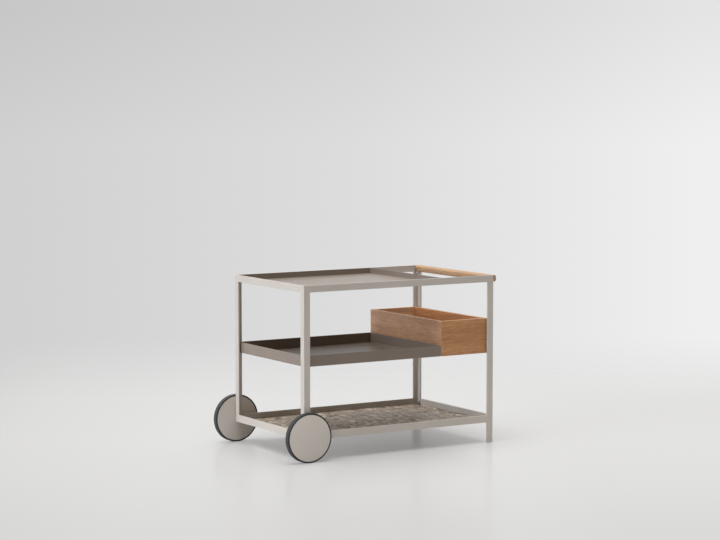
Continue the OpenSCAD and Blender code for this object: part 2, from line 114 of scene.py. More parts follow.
class Slot(Enum):
    """The record's material slots."""

    FRAME_PAINT = "frame_paint"
    TRAY_PAINT = "tray_paint"
    TEAK = "teak"
    STONE = "stone"
    STEEL = "steel"
    TYRE = "tyre"
    NYLON = "nylon"
    FOOT_NYLON = "foot_nylon"


class Grain(Enum):
    """The direction in which a board's grain runs, as the turn that brings it to X."""

    ALONG_X = 0.0
    ALONG_Y = -math.pi / 2


def grey(tone: float) -> Rgb:
    """A neutral colour of a tone."""
    return (tone, tone, tone)


# ---------------------------------------------------------------- shader building


class Graph:
    """A node tree with short calls for adding and joining nodes."""

    def __init__(self, tree: Tree) -> None:
        """Wraps the tree of a material, a group or the world."""
        self.tree = tree

    def feed(self, node: Node, inputs: dict) -> Node:
        """Sets a node's inputs.

        Args:
            node: the node.
            inputs: sockets, numbers, vectors or colours, by the input's name or number.

        Returns:
            The node.
        """
        for name, value in inputs.items():
            socket = node.inputs[name]
            if isinstance(value, Socket):
                self.tree.links.new(value, socket)
            elif socket.type == "RGBA":
                socket.default_value = (*value, 1.0)
            else:
                socket.default_value = value
        return node

    def add(self, kind: str, inputs: dict | None = None, **settings: object) -> Node:
        """Adds a node.

        Args:
            kind: the node's type without its ShaderNode prefix.
            inputs: what its inputs get, as in feed.
            settings: attributes of the node.

        Returns:
            The new node.
        """
        node = self.tree.nodes.new("ShaderNode" + kind)
        for name, value in settings.items():
            setattr(node, name, value)
        return self.feed(node, inputs or {})

    def calc(self, operation: str, *values: float | Socket) -> Socket:
        """Calculates with numbers, by an operation of the Math node."""
        return self.add("Math", dict(enumerate(values)), operation=operation).outputs["Value"]

    def vector(self, operation: str, *values: Triple | Socket) -> Socket:
        """Calculates with vectors or colours, by an operation of the Vector Math node."""
        return self.add("VectorMath", dict(enumerate(values)), operation=operation).outputs["Vector"]

    def dot(self, vector: Socket, axis: Triple) -> Socket:
        """Measures a vector along an axis."""
        return self.add("VectorMath", {0: vector, 1: axis}, operation="DOT_PRODUCT").outputs["Value"]

    def span(self, value: Socket, source: Span = UNIT, target: Span = UNIT) -> Socket:
        """Maps one range of numbers to another, clamped.

        Args:
            value: the number that varies over the surface.
            source: its range.
            target: the range it is mapped to.

        Returns:
            The mapped number's socket.
        """
        node = self.add("MapRange", {"Value": value, "From Min": source[0], "From Max": source[1],
                                     "To Min": target[0], "To Max": target[1]})
        return node.outputs["Result"]

    def noise(self, vector: Socket, scale: float | Socket, detail: float = 3.0, rough: float = 0.5,
              output: str = "Fac") -> Socket:
        """Adds a noise texture.

        Args:
            vector: where the noise is looked up.
            scale: its scale.
            detail: its detail.
            rough: its roughness.
            output: Fac for one number or Color for three.

        Returns:
            The noise's socket.
        """
        return self.add("TexNoise", {"Vector": vector, "Scale": scale, "Detail": detail,
                                     "Roughness": rough}).outputs[output]

    def warp(self, vector: Socket, scale: float, reach: Triple, detail: float = 3.0) -> Socket:
        """Shifts a vector by a noise, and each of its parts by no more than its reach."""
        drift = self.noise(vector, scale, detail, output="Color")
        return self.vector("MULTIPLY_ADD", drift, reach, vector)

    def ramp(self, factor: Socket, stops: Sequence[tuple[float, Rgb]], mode: str = "LINEAR") -> Socket:
        """Adds a colour ramp.

        Args:
            factor: what drives the ramp.
            stops: places from 0 to 1 with their linear colours.
            mode: the way colours run between stops.

        Returns:
            The ramp's colour socket.
        """
        node = self.add("ValToRGB", {"Fac": factor})
        node.color_ramp.interpolation = mode
        elements = node.color_ramp.elements
        while len(elements) < len(stops):
            elements.new(0.5)  # it is moved to its own place below
        for element, (place, colour) in zip(elements, stops):
            element.position = place
            element.color = (*colour, 1.0)
        return node.outputs["Color"]

    def shade(self, value: Socket, source: Span, shades: Shades) -> Socket:
        """Turns a number into greys, by places in its range from 0 to 1 with their tones."""
        return self.ramp(self.span(value, source), [(place, grey(tone)) for place, tone in shades])

    def tint(self, colour: Socket, factor: Socket) -> Socket:
        """Scales a colour by a factor."""
        return self.add("VectorMath", {0: colour, "Scale": factor}, operation="SCALE").outputs["Vector"]

    def rise(self, colour: Socket, value: Socket, source: Span, factor: float) -> Socket:
        """Scales a colour by a factor that sets in over the range of a number."""
        return self.tint(colour, self.span(value, source, (1.0, factor)))

    def blend(self, factor: Socket, first: Rgb | Socket, second: Rgb | Socket) -> Socket:
        """Mixes two colours, the first where the factor is 0 and the second where it is 1."""
        return self.add("Mix", {0: factor, 6: first, 7: second}, data_type="RGBA").outputs[2]

    def mix(self, factor: Socket, first: Node, second: Node) -> Node:
        """Mixes two shaders, the first where the factor is 0 and the second where it is 1."""
        return self.add("MixShader", {0: factor, 1: first.outputs[0], 2: second.outputs[0]})


class Layer(Enum):
    """Teak's layers of noise: scale along and across the grain, detail and roughness."""

    BAND = (1.1, 24.0, 3.0, 0.5)
    STREAK = (2.6, 150.0, 4.0, 0.6)
    FIBRE = (22.0, 1300.0, 2.0, 0.5)
    PORE = (70.0, 2100.0, 1.0, 0.5)
    FLECK = (24.0, 210.0, 2.0, 0.5)

    def lay(self, graph: Graph, vector: Socket) -> Socket:
        """Adds the layer to a graph, over a vector with the grain along X."""
        along, across, detail, rough = self.value
        stretched = graph.vector("MULTIPLY", vector, (along, across, across))
        return graph.noise(stretched, 1.0, detail, rough)


class SharedNodes:
    """Node groups that several finishes use. Each is built when it is first asked for."""

    cloud_detail = 4.0
    cloud_swing: Span = (-1.0, 1.0)
    peel_detail = 3.0
    peel_rough = 0.6
    peel_cells = 0.6  # how much the round cells weigh beside the noise
    peel_range: Span = (0.35, 0.65)
    wave_scale = 5.0
    wave_detail = 2.0
    wave_reach: Triple = (0.0, 0.016, 0.016)
    streak_weight = 0.75  # how much streaks weigh beside the broad bands
    dark_range: Span = (0.58, 1.20)
    fibre_tint: Span = (0.90, 1.08)
    fleck_range: Span = (0.32, 0.68)
    fleck_tint: Span = (0.84, 1.14)
    pore_range: Span = (0.62, 0.70)
    pore_share: Span = (0.0, 0.55)
    pore_height = -1.2
    rough_range: Span = (0.6, 1.1)
    teak_rough: Span = (0.42, 0.58)

    @staticmethod
    def _new(name: str, inputs: dict[str, str], outputs: dict[str, str]) -> tuple[Graph, dict, Node]:
        """Makes an empty group.

        Args:
            name: the group's name.
            inputs: kinds of its inputs by name.
            outputs: kinds of its outputs by name.

        Returns:
            The group's graph, the sockets of its inputs and its output node.
        """
        tree = bpy.data.node_groups.new(name, "ShaderNodeTree")
        for direction, sockets in (("INPUT", inputs), ("OUTPUT", outputs)):
            for socket, kind in sockets.items():
                tree.interface.new_socket(socket, in_out=direction, socket_type="NodeSocket" + kind)
        given = tree.nodes.new("NodeGroupInput").outputs
        return Graph(tree), given, tree.nodes.new("NodeGroupOutput")

    @cached_property
    def cloud(self) -> Tree:
        """Faint large patches over a colour."""
        graph, given, made = self._new(
            "cloud", {"Vector": "Vector", "Color": "Color", "Scale": "Float", "Amount": "Float"},
            {"Color": "Color"})
        noise = graph.noise(given["Vector"], given["Scale"], self.cloud_detail)
        swing = graph.span(noise, NOISE, self.cloud_swing)
        factor = graph.calc("MULTIPLY_ADD", swing, given["Amount"], 1.0)
        graph.feed(made, {"Color": graph.tint(given["Color"], factor)})
        return graph.tree

    @cached_property
    def peel(self) -> Tree:
        """The fine dimpled skin of powder coat, moulded nylon and rubber."""
        graph, given, made = self._new(
            "peel", {"Vector": "Vector", "Scale": "Float"}, {"Height": "Float", "Mask": "Float"})
        noise = graph.noise(given["Vector"], given["Scale"], self.peel_detail, self.peel_rough)
        cells = graph.add("TexVoronoi", {"Vector": given["Vector"], "Scale": given["Scale"]},
                          feature="SMOOTH_F1").outputs["Distance"]
        height = graph.calc("MULTIPLY_ADD", cells, self.peel_cells, noise)
        graph.feed(made, {"Height": height, "Mask": graph.span(noise, self.peel_range)})
        return graph.tree

    @cached_property
    def teak_grain(self) -> Tree:
        """Straight teak grain along X: broad bands, streaks, flecks, fibres and open pores."""
        graph, given, made = self._new(
            "teak_grain", {"Vector": "Vector", "Light": "Color", "Dark": "Color", "Pore": "Color"},
            {"Color": "Color", "Roughness": "Float", "Height": "Float"})
        vector = graph.warp(given["Vector"], self.wave_scale, self.wave_reach, self.wave_detail)
        band, streak, fibre, pore, fleck = (layer.lay(graph, vector) for layer in Layer)
        bands = graph.calc("MULTIPLY_ADD", streak, self.streak_weight, band)
        colour = graph.blend(graph.span(bands, self.dark_range), given["Light"], given["Dark"])
        colour = graph.tint(colour, graph.span(fibre, NOISE, self.fibre_tint))
        colour = graph.tint(colour, graph.span(fleck, self.fleck_range, self.fleck_tint))
        holes = graph.span(pore, self.pore_range, self.pore_share)
        graph.feed(made, {
            "Color": graph.blend(holes, colour, given["Pore"]),
            "Roughness": graph.span(bands, self.rough_range, self.teak_rough),
            "Height": graph.calc("MULTIPLY_ADD", holes, self.pore_height, fibre)})
        return graph.tree


SHARED = SharedNodes()


class Finish(ABC):
    """A material over Object coordinates that ends in an embossed Principled shader.

    Attributes:
        bump: how strongly it is embossed.
        depth: how deep the embossing goes, in metres.
        cloud_amount: how much the clouds change its colour.
        peel_scale: the scale of its dimples.
    """

    name: str
    bump: float
    depth: float
    cloud_scale: float
    cloud_amount: float
    peel_scale: float
    ior: float = 1.5
    metallic: float = 0.0

    @abstractmethod
    def skin(self, graph: Graph, place: Socket) -> Skin:
        """Lays out what varies over the surface.

        Args:
            graph: the material's graph.
            place: the Object coordinates.

        Returns:
            The sockets of colour, roughness and height.
        """

    def build(self) -> Material:
        """Makes the material."""
        material = bpy.data.materials.new(self.name)
        material.use_nodes = True
        graph = Graph(material.node_tree)
        colour, roughness, height = self.skin(graph, graph.add("TexCoord").outputs["Object"])
        bump = graph.add("Bump", {"Height": height, "Strength": self.bump, "Distance": self.depth})
        graph.feed(graph.tree.nodes["Principled BSDF"], {
            "Base Color": colour, "Roughness": roughness, "Normal": bump.outputs["Normal"],
            "IOR": self.ior, "Metallic": self.metallic})
        return material

    def clouded(self, graph: Graph, vector: Socket, colour: Rgb | Socket) -> Socket:
        """Lays this finish's clouds over a colour."""
        return graph.add("Group", {"Vector": vector, "Color": colour, "Scale": self.cloud_scale,
                                   "Amount": self.cloud_amount}, node_tree=SHARED.cloud).outputs["Color"]

    def peeled(self, graph: Graph, vector: Socket) -> tuple[Socket, Socket]:
        """Lays out this finish's dimples as a mask and a height."""
        peel = graph.add("Group", {"Vector": vector, "Scale": self.peel_scale}, node_tree=SHARED.peel)
        return peel.outputs["Mask"], peel.outputs["Height"]


@dataclass(frozen=True)
class PowderCoat(Finish):
    """Matte powder coat: a fine dimpled skin with faint clouds in its colour."""

    name: str
    colour: Rgb
    rough: Span = (0.46, 0.60)
    ior: float = 1.5
    fleck_tint: Span = (0.965, 1.035)
    cloud_scale: float = 7.0
    cloud_amount: float = 0.035
    peel_scale: float = 750.0
    bump: float = 0.35
    depth: float = 0.12 * MM

    def skin(self, graph: Graph, place: Socket) -> Skin:
        """Lays clouds and flecks over the colour."""
        mask, height = self.peeled(graph, place)
        fleck = graph.span(mask, UNIT, self.fleck_tint)
        colour = graph.tint(self.clouded(graph, place, self.colour), fleck)
        return colour, graph.span(mask, UNIT, self.rough), height


@dataclass(frozen=True)
class Teak(Finish):
    """Oiled teak, planed smooth, with its grain along a board."""

    name: str
    grain: Grain
    seed: Triple
    light: Rgb = (0.60, 0.318, 0.150)
    dark: Rgb = (0.42, 0.188, 0.077)
    pore: Rgb = (0.16, 0.075, 0.035)
    cloud_scale: float = 9.0
    cloud_amount: float = 0.06
    bump: float = 0.3
    depth: float = 0.12 * MM

    def skin(self, graph: Graph, place: Socket) -> Skin:
        """Turns the grain along the board and lays clouds over it."""
        vector = graph.add("Mapping", {"Vector": place, "Location": self.seed,
                                       "Rotation": (0.0, 0.0, self.grain.value)}).outputs["Vector"]
        wood = graph.add("Group", {"Vector": vector, "Light": self.light, "Dark": self.dark,
                                   "Pore": self.pore}, node_tree=SHARED.teak_grain).outputs
        return self.clouded(graph, vector, wood["Color"]), wood["Roughness"], wood["Height"]


@dataclass(frozen=True)
class Terrazzo(Finish):
    """Honed stone with angular chips of several kinds in a fine matrix.

    Attributes:
        sizes: the scales of crumbs and chips, each with the share that is left out.
        kinds: the chips' colours, each with the place from 0 to 1 where its share begins.
        rim: the distances from a chip's edge over which it sets in.
        squash: what makes the chips longer along Y.
    """

    name: str
    matrix: Rgb = (0.30, 0.205, 0.135)
    sizes: tuple[Span, ...] = ((130.0, 0.25), (48.0, 0.42))
    kinds: tuple[tuple[float, Rgb], ...] = (
        (0.0, (0.10, 0.062, 0.038)), (0.11, (0.24, 0.135, 0.072)), (0.23, (0.35, 0.275, 0.205)),
        (0.46, (0.45, 0.37, 0.285)), (0.66, (0.60, 0.51, 0.40)), (0.88, (0.76, 0.665, 0.53)))
    rim: Span = (0.02, 0.07)
    warp_scale: float = 55.0
    warp_reach: Triple = (0.012, 0.012, 0.0)
    squash: Triple = (1.0, 0.72, 1.0)
    speck_scale: float = 900.0
    speck_detail: float = 2.0
    speck_tint: Span = (0.86, 1.12)
    rough: Span = (0.42, 0.58)
    bump: float = 0.2
    depth: float = 0.1 * MM

    def skin(self, graph: Graph, place: Socket) -> Skin:
        """Lays crumbs, then chips, then specks over the matrix."""
        vector = graph.warp(place, self.warp_scale, self.warp_reach)
        vector = graph.vector("MULTIPLY", vector, self.squash)
        colour: Rgb | Socket = self.matrix
        for scale, left_out in self.sizes:
            at = {"Vector": vector, "Scale": scale}
            cells = graph.add("TexVoronoi", at, feature="F1").outputs["Color"]
            edge = graph.add("TexVoronoi", at, feature="DISTANCE_TO_EDGE").outputs["Distance"]
            draw = graph.add("SeparateColor", {"Color": cells}).outputs
            chip = graph.ramp(draw["Red"], self.kinds, "CONSTANT")
            kept = graph.calc("GREATER_THAN", draw["Green"], left_out)
            shown = graph.calc("MULTIPLY", kept, graph.span(edge, self.rim))
            colour = graph.blend(shown, colour, chip)
        speck = graph.noise(place, self.speck_scale, self.speck_detail)
        colour = graph.tint(colour, graph.span(speck, NOISE, self.speck_tint))
        return colour, graph.span(speck, NOISE, self.rough), speck


@dataclass(frozen=True)
class Rubber(Finish):
    """Dark grey solid rubber with a fine skin and a little dust."""

    name: str
    colour: Rgb = (0.018, 0.019, 0.021)
    dust: Rgb = (0.050, 0.052, 0.055)
    dust_scale: float = 28.0
    dust_detail: float = 5.0
    dust_rough: float = 0.65
    dust_range: Span = (0.45, 0.8)
    dust_share: Span = (0.0, 0.35)
    rough: Span = (0.58, 0.76)
    peel_scale: float = 520.0
    bump: float = 0.4
    depth: float = 0.2 * MM

    def skin(self, graph: Graph, place: Socket) -> Skin:
        """Lays patches of dust over the colour."""
        mask, height = self.peeled(graph, place)
        dust = graph.noise(place, self.dust_scale, self.dust_detail, self.dust_rough)
        share = graph.span(dust, self.dust_range, self.dust_share)
        return graph.blend(share, self.colour, self.dust), graph.span(mask, UNIT, self.rough), height


@dataclass(frozen=True)
class Nylon(Finish):
    """Moulded nylon with a spark-eroded texture."""

    name: str
    colour: Rgb = (0.028, 0.028, 0.028)
    rough: Span = (0.45, 0.62)
    cloud_scale: float = 60.0
    cloud_amount: float = 0.15
    peel_scale: float = 1500.0
    bump: float = 0.4
    depth: float = 0.1 * MM

    def skin(self, graph: Graph, place: Socket) -> Skin:
        """Lays clouds over the colour."""
        mask, height = self.peeled(graph, place)
        return self.clouded(graph, place, self.colour), graph.span(mask, UNIT, self.rough), height


@dataclass(frozen=True)
class TurnedSteel(Finish):
    """Stainless steel with the fine marks of turning."""

    name: str
    colour: Rgb = (0.56, 0.55, 0.53)
    rough: Span = (0.24, 0.42)
    mark_scale: Triple = (300.0, 2600.0, 300.0)
    cloud_scale: float = 90.0
    cloud_amount: float = 0.08
    bump: float = 0.25
    depth: float = 0.05 * MM
    metallic: float = 1.0

    def skin(self, graph: Graph, place: Socket) -> Skin:
        """Lays clouds over the colour and the marks over the roughness."""
        marks = graph.noise(graph.vector("MULTIPLY", place, self.mark_scale), 1.0)
        return self.clouded(graph, place, self.colour), graph.span(marks, NOISE, self.rough), marks


# ---------------------------------------------------------------- modelling


def level(edge: Edge) -> bool:
    """Tells whether an edge's two ends lie at the same place across the trolley."""
    return abs(edge.verts[0].co.y - edge.verts[1].co.y) < TOUCH


class Bench:
    """The modelling bench: one mesh at a time, shaped in edit mode by Blender's operators."""

    merge = 0.004 * MM  # corners closer than this are welded
    flat = math.radians(0.5)  # faces that meet at less than this are one

    @staticmethod
    def clear() -> None:
        """Leaves edit mode and deselects everything."""
        if bpy.context.object is not None and bpy.context.object.mode != "OBJECT":
            bpy.ops.object.mode_set(mode="OBJECT")
        bpy.ops.object.select_all(action="DESELECT")

    @classmethod
    def hold(cls, piece: Piece) -> None:
        """Makes a piece the only selected one and the active one."""
        cls.clear()
        piece.select_set(True)
        bpy.context.view_layer.objects.active = piece

    @classmethod
    @contextmanager
    def editing(cls, piece: Piece, mode: str = "FACE") -> Iterator[None]:
        """Holds a piece in edit mode with nothing selected.

        Args:
            piece: the mesh to shape.
            mode: what is picked, VERT, EDGE or FACE.
        """
        cls.hold(piece)
        bpy.ops.object.mode_set(mode="EDIT")
        bpy.ops.mesh.select_mode(type=mode)
        bpy.ops.mesh.select_all(action="DESELECT")
        yield
        bpy.ops.object.mode_set(mode="OBJECT")

    @staticmethod
    def pick(piece: Piece, kind: str, wanted: Callable[[Face | Edge], bool]) -> None:
        """Selects the faces or edges that pass a test, in edit mode."""
        mesh = bmesh.from_edit_mesh(piece.data)
        for part in getattr(mesh, kind):
            part.select_set(wanted(part))
        mesh.select_flush_mode()
        bmesh.update_edit_mesh(piece.data)

    @classmethod
    def round_edges(cls, piece: Piece, width: float, steps: int,
                    wanted: Callable[[Edge], bool] = lambda edge: True) -> None:
        """Bevels edges to roundings.

        Args:
            piece: the mesh to shape.
            width: the roundings' width in metres.
            steps: the number of steps in a rounding.
            wanted: the test for the edges to round; without it, all are.
        """
        with cls.editing(piece, "EDGE"):
            cls.pick(piece, "edges", wanted)
            bpy.ops.mesh.bevel(offset=width, segments=steps, affect="EDGES")

    @classmethod
    def bridge(cls, piece: Piece) -> None:
        """Joins the two open rims of a piece by a wall."""
        with cls.editing(piece, "EDGE"):
            cls.pick(piece, "edges", lambda edge: edge.is_boundary)
            bpy.ops.mesh.bridge_edge_loops()

    @classmethod
    def face_out(cls, piece: Piece) -> None:
        """Turns every face of a piece outwards."""
        with cls.editing(piece):
            bpy.ops.mesh.select_all(action="SELECT")
            bpy.ops.mesh.normals_make_consistent(inside=False)

    @classmethod
    def settle(cls, name: str) -> Piece:
        """Names the primitive that was just added and puts its place into its mesh."""
        piece = bpy.context.object
        piece.name = piece.data.name = name
        cls.hold(piece)
        bpy.ops.object.transform_apply(location=True, rotation=True, scale=True)
        return piece

    @classmethod
    def slab(cls, name: str, low: Vector, high: Vector) -> Piece:
        """Models a block from a cube primitive.

        Args:
            name: the piece's name.
            low: its lowest corner.
            high: its highest corner.

        Returns:
            The block, standing at the origin.
        """
        cls.clear()
        bpy.ops.mesh.primitive_cube_add(size=1.0, location=(low + high) / 2)
        with cls.editing(bpy.context.object):
            bpy.ops.mesh.select_all(action="SELECT")
            bpy.ops.transform.resize(value=high - low)
        return cls.settle(name)

    @classmethod
    def disc(cls, name: str, centre: Vector, radius: float, depth: float, sides: int) -> Piece:
        """Models a disc across the trolley from a cylinder primitive.

        Args:
            name: the piece's name.
            centre: its middle.
            radius: its radius.
            depth: its thickness along Y.
            sides: the number of its sides.

        Returns:
            The disc, standing at the origin.
        """
        cls.clear()
        bpy.ops.mesh.primitive_cylinder_add(vertices=sides, radius=radius, depth=depth,
                                            location=centre, rotation=(math.pi / 2, 0.0, 0.0))
        return cls.settle(name)

    @classmethod
    def copy(cls, name: str, nodes: dict[str, Piece], wanted: Iterable[str]) -> Piece:
        """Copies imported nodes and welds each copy's loose triangles into one skin.

        Args:
            name: the new piece's name.
            nodes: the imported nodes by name.
            wanted: the nodes to copy, which are united into one solid.

        Returns:
            The new piece.
        """
        united: Piece | None = None
        for node in wanted:
            part = nodes[node].copy()
            part.data = nodes[node].data.copy()
            part.parent = None
            for key in list(part.keys()):
                del part[key]
            bpy.context.scene.collection.objects.link(part)
            cls.weld(part)
            if united is None:
                united = part
            else:
                cls.combine(united, part, "UNION")
        assert united is not None
        united.name = united.data.name = name
        cls.weld(united)
        return united

    @classmethod
    def weld(cls, piece: Piece) -> None:
        """Merges doubles and flat seams, and turns every face outwards."""
        cls.hold(piece)
        bpy.ops.mesh.customdata_custom_splitnormals_clear()
        with cls.editing(piece, "VERT"):
            bpy.ops.mesh.select_all(action="SELECT")
            bpy.ops.mesh.remove_doubles(threshold=cls.merge)
            bpy.ops.mesh.dissolve_limited(angle_limit=cls.flat)
        cls.face_out(piece)

    @classmethod
    def combine(cls, piece: Piece, tool: Piece, way: str) -> None:
        """Adds a tool solid to a piece or cuts it away, and removes the tool.

        Args:
            piece: the solid that is changed.
            tool: the solid that is used up.
            way: UNION or DIFFERENCE.
        """
        cls.hold(piece)
        change = piece.modifiers.new("combine", "BOOLEAN")
        change.operation = way
        change.solver = "EXACT"
        change.object = tool
        bpy.ops.object.modifier_apply(modifier=change.name)
        bpy.data.objects.remove(tool)

    @classmethod
    def soften(cls, piece: Piece, width: float, steps: int = 3, angle: float = 40.0,
               edge_slot: int = -1) -> None:
        """Rounds a piece's sharp edges and smooths its shading.

        Args:
            piece: the mesh to round.
            width: the rounding's width in metres.
            steps: the number of steps in a rounding.
            angle: edges sharper than this many degrees are rounded.
            edge_slot: the material slot of the rounded edges, or -1 for their neighbours'.
        """
        cls.hold(piece)
        change = piece.modifiers.new("soften", "BEVEL")
        change.width = width
        change.segments = steps
        change.limit_method = "ANGLE"
        change.angle_limit = math.radians(angle)
        change.use_clamp_overlap = False
        change.miter_outer = "MITER_SHARP"
        change.harden_normals = True
        change.material = edge_slot
        bpy.ops.object.shade_smooth()
        bpy.ops.object.modifier_apply(modifier=change.name)

    @classmethod
    def smooth(cls, piece: Piece, angle: float = 35.0) -> None:
        """Shades a piece smooth except over edges sharper than an angle in degrees."""
        cls.hold(piece)
        bpy.ops.object.shade_smooth_by_angle(angle=math.radians(angle))


@dataclass
class Workshop:
    """What every sub-assembly needs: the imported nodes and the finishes."""

    nodes: dict[str, Piece]
    finishes: dict[str, Material]

    def paint(self, piece: Piece, *finishes: str) -> None:
        """Gives a piece its finishes, in the order of its material slots."""
        piece.data.materials.clear()
        for finish in finishes:
            piece.data.materials.append(self.finishes[finish])

    def hand_over(self, piece: Piece, body: Body, slot: Slot, *stands_for: str) -> None:
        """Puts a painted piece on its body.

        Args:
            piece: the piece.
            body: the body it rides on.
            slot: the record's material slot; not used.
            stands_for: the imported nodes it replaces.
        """
        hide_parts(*stands_for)
        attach(piece, body.value)
        LOG.info("%s stands for %s", piece.name, ", ".join(stands_for))

    def dress(self, names: Iterable[str], slot: Slot, finish: str) -> None:
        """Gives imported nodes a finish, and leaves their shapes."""
        for name in names:
            node = self.nodes[name]
            self.paint(node, finish)
            LOG.info("%s keeps its shape, in %s", name, finish)


# ---------------------------------------------------------------- sub-assemblies


@dataclass
class WeldedFrame:
    """Legs and rails as one painted weldment, its joints ground flush and its edges soft."""

    shop: Workshop
    edge: float = 0.7 * MM
    flange: float = 6.0 * MM
    legs: tuple[str, ...] = ("leg_front_left", "leg_rear_left", "leg_front_right", "leg_rear_right")
    members: tuple[str, ...] = (
        "top_rail_front", "top_rail_rear", "top_rail_left", "top_cross_bar",
        "lower_rail_front", "lower_rail_rear", "lower_rail_left", "lower_rail_right", "shelf_bars")

    def build(self) -> None:
        """Unites the welded members, softens their edges and dresses the small parts."""
        frame = Bench.copy("welded_frame", self.shop.nodes, self.members)
        for leg in self.legs:
            Bench.combine(frame, self._angle(leg), "UNION")
        Bench.weld(frame)
        Bench.soften(frame, self.edge)
        self.shop.paint(frame, "frame_paint")
        self.shop.hand_over(frame, Body.FRAME, Slot.FRAME_PAINT, *self.members, *self.legs)
        self.shop.dress(("handle_plates", "axle_boss_front", "axle_boss_rear"),
                        Slot.FRAME_PAINT, "frame_paint")

    def _angle(self, leg: str) -> Piece:
        """Models a packed leg anew as a bar with its inner corner cut away."""
        low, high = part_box(leg)
        bar = Bench.slab(leg + "_angle", low, high)
        middle = (low + high) / 2
        inwards = Vector((-math.copysign(self.flange, middle.x), -math.copysign(self.flange, middle.y), 0.0))
        clear = Vector((0.0, 0.0, self.flange))
        corner = Bench.slab("corner", low + inwards - clear, high + inwards + clear)
        Bench.combine(bar, corner, "DIFFERENCE")
        return bar


@dataclass
class StoneShelf:
    """The thin stone panel on the lower ledges."""

    shop: Workshop
    arris: float = 0.5 * MM

    def build(self) -> None:
        """Models the panel from a block with eased edges."""
        panel = Bench.slab("stone_slab", *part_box("stone_panel"))
        Bench.round_edges(panel, self.arris, steps=2)
        Bench.smooth(panel)
        self.shop.paint(panel, "terrazzo")
        self.shop.hand_over(panel, Body.FRAME, Slot.STONE, "stone_panel")


@dataclass
class Handle:
    """The teak bar across the right end, rebated over the ends of the long rails."""

    shop: Workshop
    long_radius: float = 9.0 * MM
    end_radius: float = 1.2 * MM
    rebate: float = 6.2 * MM
    overhang: float = 12.8 * MM
    reach: float = 5.0 * MM  # how far a cutter stands out of the bar

    def build(self) -> None:
        """Models the bar from a block: rounded long edges, eased ends and two rebates."""
        low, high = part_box("handle_bar")
        bar = Bench.slab("handle_grip", low, high)
        Bench.round_edges(bar, self.long_radius, steps=10, wanted=lambda edge: not level(edge))
        Bench.round_edges(bar, self.end_radius, steps=3, wanted=lambda edge: level(edge) and min(
            edge.verts[0].co.y - low.y, high.y - edge.verts[0].co.y) < NEAR)
        for front, rear in ((low.y - self.reach, low.y + self.rebate),
                            (high.y - self.rebate, high.y + self.reach)):
            cutter = Bench.slab("rebate", Vector((low.x - self.reach, front, low.z - self.reach)),
                                Vector((high.x - self.overhang, rear, high.z + self.reach)))
            Bench.combine(bar, cutter, "DIFFERENCE")
        Bench.smooth(bar, angle=40.0)
        self.shop.paint(bar, "teak_handle")
        self.shop.hand_over(bar, Body.FRAME, Slot.TEAK, "handle_bar")


@dataclass
class Trays:
    """The folded top and middle trays."""

    shop: Workshop
    sheet: float = 1.5 * MM
    fold: float = 3.2 * MM
    rim: float = 0.35 * MM

    def build(self) -> None:
        """Folds the top tray from a block and softens the middle tray's sheet edges."""
        self._hand_over(self._fold(), Body.TOP_TRAY, "top_tray")
        self._hand_over(Bench.copy("middle_pan", self.shop.nodes, ["middle_tray"]), Body.FRAME, "middle_tray")

    def _fold(self) -> Piece:
        """Models the top tray: a block without its top, its lower edges rounded, as a sheet."""
        low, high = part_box("top_tray")
        pan = Bench.slab("top_pan", low, high)
        with Bench.editing(pan):
            Bench.pick(pan, "faces", lambda face: face.normal.z > FACING)
            bpy.ops.mesh.delete(type="FACE")
        Bench.round_edges(pan, self.fold, steps=6, wanted=lambda edge: all(
            v.co.z - low.z < NEAR for v in edge.verts))
        wall = pan.modifiers.new("sheet", "SOLIDIFY")
        wall.thickness = self.sheet
        wall.offset = -1.0
        wall.use_even_offset = True
        Bench.hold(pan)
        bpy.ops.object.modifier_apply(modifier=wall.name)
        return pan

    def _hand_over(self, pan: Piece, body: Body, node: str) -> None:
        """Softens a tray's sheet edges, and paints it in the finish named after its node: one tray paint,
        painted paler on the top tray as painted light and darker on the middle tray as painted shade.
        """
        Bench.soften(pan, self.rim, steps=2, angle=50.0)
        self.shop.paint(pan, f"{node}_paint")
        self.shop.hand_over(pan, body, Slot.TRAY_PAINT, node)


@dataclass
class BottleBox:
    """Four mitred teak boards around a grooved-in bottom."""

    shop: Workshop
    arris: float = 0.8 * MM
    bottom_arris: float = 0.4 * MM

    def build(self) -> None:
        """Softens each board's arrises and models the bottom."""
        for side in ("front", "rear", "left", "right"):
            node = f"box_board_{side}"
            # Each board's own teak colours hold painted light and shade, set by where the board stands.
            board = Bench.copy(f"{side}_board", self.shop.nodes, [node])
            # The rounded arrises get a lighter teak: a painted highlight along the edges.
            self.shop.paint(board, f"teak_{side}", "teak_arris_painted_highlight")
            Bench.soften(board, self.arris, angle=30.0, edge_slot=1)
            self.shop.hand_over(board, Body.BOTTLE_BOX, Slot.TEAK, node)
        bottom = Bench.slab("bottom_board", *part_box("box_bottom"))
        Bench.round_edges(bottom, self.bottom_arris, steps=2)
        Bench.smooth(bottom)
        self.shop.paint(bottom, "teak_bottom")
        self.shop.hand_over(bottom, Body.BOTTLE_BOX, Slot.TEAK, "box_bottom")


